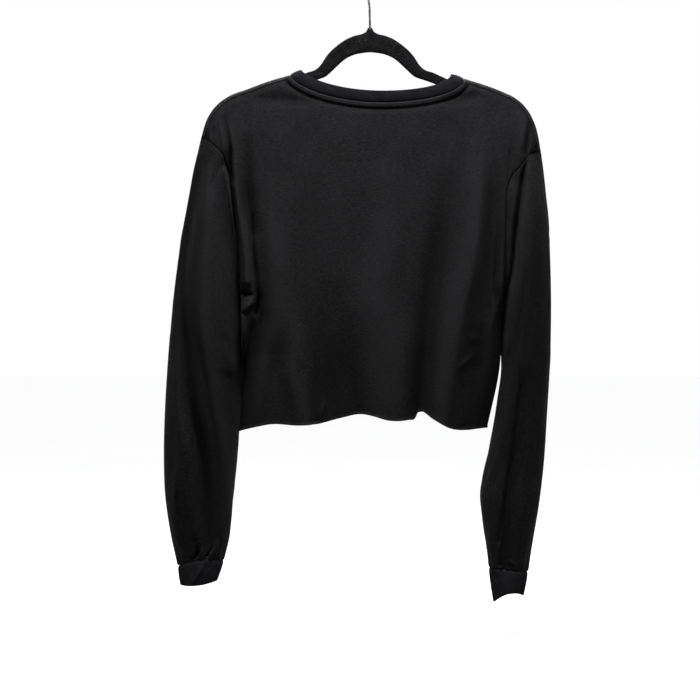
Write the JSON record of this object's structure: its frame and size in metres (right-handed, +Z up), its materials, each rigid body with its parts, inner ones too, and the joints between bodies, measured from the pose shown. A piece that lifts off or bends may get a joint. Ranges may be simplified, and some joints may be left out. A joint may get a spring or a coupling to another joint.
{
  "type": "cropped long-sleeve top on a hanger",
  "caption": "Cropped long-sleeve jersey top with a ribbed neck band and cuffs and a raw, wavy hem, hanging open on a slim flocked hanger with a wire hook.",
  "frame": {"origin": "inner top of the hook, where the rail touches it, in the hanger's middle plane", "axes": "+Z up; +X from the top's left-hand side to its right-hand side as seen from behind it; +Y towards the front of the top, so its back faces -Y"},
  "size_m": [0.5526, 0.12, 0.9031],
  "materials": {
    "jersey": "black cotton jersey knit, matte with a soft sheen",
    "rib_knit": "black one by one rib knit",
    "flock": "black velvet flock on plastic",
    "chrome_wire": "bright plated steel wire"
  },
  "bodies": {
    "root": {"back_panel": "jersey", "front_panel": "jersey", "left_sleeve": "jersey", "right_sleeve": "jersey", "left_cuff": "rib_knit", "right_cuff": "rib_knit", "neck_band": "rib_knit", "hanger": "flock", "hook": "chrome_wire"}
  },
  "joints": []
}
